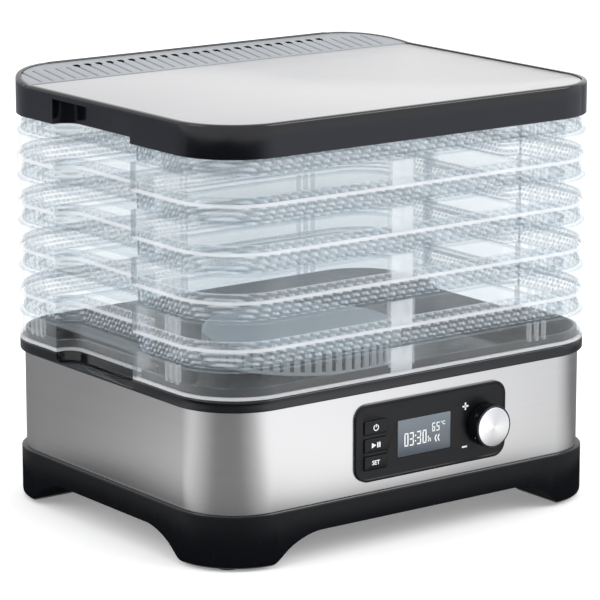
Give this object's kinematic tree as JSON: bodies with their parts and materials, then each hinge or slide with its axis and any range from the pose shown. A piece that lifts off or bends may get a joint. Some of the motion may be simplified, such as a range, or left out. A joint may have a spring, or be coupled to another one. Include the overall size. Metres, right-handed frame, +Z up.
{
  "type": "food dehydrator",
  "caption": "Electric food dehydrator: clear stacking mesh trays with a vented lid on a fan-and-heater base with a control panel.",
  "frame": {"origin": "middle of the whole object's footprint, on the surface it stands on", "axes": "+X to the object's right seen from the front, +Y to the back, +Z up"},
  "size_m": [0.33, 0.277, 0.2975],
  "materials": {
    "gloss_black": "gloss",
    "black_plastic": "satin",
    "grey_plastic": "satin",
    "clear_plastic": "clear gloss",
    "brushed_steel": "brushed",
    "aluminium": "spun",
    "zinc": "bright zinc",
    "rubber": "matte",
    "circuit_board": "satin",
    "mica_sheet": "matte",
    "heating_wire": "oxidised metal",
    "display_window": "gloss"
  },
  "bodies": {
    "base": {"base_top": "black_plastic", "base_deck": "black_plastic", "fan_guard": "grey_plastic", "steel_band": "brushed_steel", "base_pan": "black_plastic", "rubber_foot_front_left": "rubber", "rubber_foot_front_right": "rubber", "rubber_foot_rear_left": "rubber", "rubber_foot_rear_right": "rubber", "base_screw_1": "zinc", "base_screw_2": "zinc", "base_screw_3": "zinc", "base_screw_4": "zinc", "cord_gland": "rubber", "motor_bracket": "zinc", "fan_motor": "zinc", "air_duct": "zinc", "heating_coil": "heating_wire", "coil_holder_1": "mica_sheet", "coil_holder_2": "mica_sheet", "coil_holder_3": "mica_sheet", "coil_holder_4": "mica_sheet", "thermal_cutout": "gloss_black", "temperature_probe": "aluminium", "power_board": "circuit_board", "power_relay": "gloss_black", "terminal_block": "grey_plastic", "wire_loom": "black_plastic", "panel_fascia": "gloss_black", "display_lens": "display_window", "lcd_module": "display_window", "switch_power": "gloss_black", "switch_start": "gloss_black", "switch_set": "gloss_black", "control_board": "circuit_board", "board_screw_1": "zinc", "board_screw_2": "zinc", "knob_encoder": "zinc"},
    "fan": {"motor_shaft": "zinc", "fan_impeller": "black_plastic"},
    "knob": {"knob_shaft": "aluminium", "knob_body": "gloss_black", "knob_cap": "aluminium"},
    "power_button": {"button_power": "black_plastic"},
    "start_button": {"button_start": "black_plastic"},
    "set_button": {"button_set": "black_plastic"},
    "tray_5_body": {"tray_5": "clear_plastic", "tray_5_mesh": "clear_plastic"},
    "tray_4_body": {"tray_4": "clear_plastic", "tray_4_mesh": "clear_plastic"},
    "tray_3_body": {"tray_3": "clear_plastic", "tray_3_mesh": "clear_plastic"},
    "tray_2_body": {"tray_2": "clear_plastic", "tray_2_mesh": "clear_plastic"},
    "tray_1_body": {"tray_1": "clear_plastic", "tray_1_mesh": "clear_plastic"},
    "lid": {"lid_frame": "gloss_black", "lid_plate": "brushed_steel", "lid_vent_strip": "grey_plastic"}
  },
  "joints": [
    {"name": "tray_5_lift", "type": "slide", "parent": "base", "child": "tray_5_body", "axis": [0, 0, 1], "range_m": [0, 0.06]},
    {"name": "tray_4_lift", "type": "slide", "parent": "tray_5_body", "child": "tray_4_body", "axis": [0, 0, 1], "range_m": [0, 0.06]},
    {"name": "tray_3_lift", "type": "slide", "parent": "tray_4_body", "child": "tray_3_body", "axis": [0, 0, 1], "range_m": [0, 0.06]},
    {"name": "tray_2_lift", "type": "slide", "parent": "tray_3_body", "child": "tray_2_body", "axis": [0, 0, 1], "range_m": [0, 0.06]},
    {"name": "tray_1_lift", "type": "slide", "parent": "tray_2_body", "child": "tray_1_body", "axis": [0, 0, 1], "range_m": [0, 0.06]},
    {"name": "lid_lift", "type": "slide", "parent": "tray_1_body", "child": "lid", "axis": [0, 0, 1], "range_m": [0, 0.06]},
    {"name": "fan_spin", "type": "hinge", "parent": "base", "child": "fan", "pos_m": [0, 0.005, 0.0795], "axis": [0, 0, 1], "continuous": true},
    {"name": "knob_turn", "type": "hinge", "parent": "base", "child": "knob", "pos_m": [0.0538, -0.1275, 0.0692], "axis": [0, -1, 0], "continuous": true},
    {"name": "power_press", "type": "slide", "parent": "base", "child": "power_button", "axis": [0, 1, 0], "range_m": [0, 0.0008], "stiffness_N_per_m": 900, "springref_m": -0.0006},
    {"name": "start_press", "type": "slide", "parent": "base", "child": "start_button", "axis": [0, 1, 0], "range_m": [0, 0.0008], "stiffness_N_per_m": 900, "springref_m": -0.0006},
    {"name": "set_press", "type": "slide", "parent": "base", "child": "set_button", "axis": [0, 1, 0], "range_m": [0, 0.0008], "stiffness_N_per_m": 900, "springref_m": -0.0006}
  ]
}
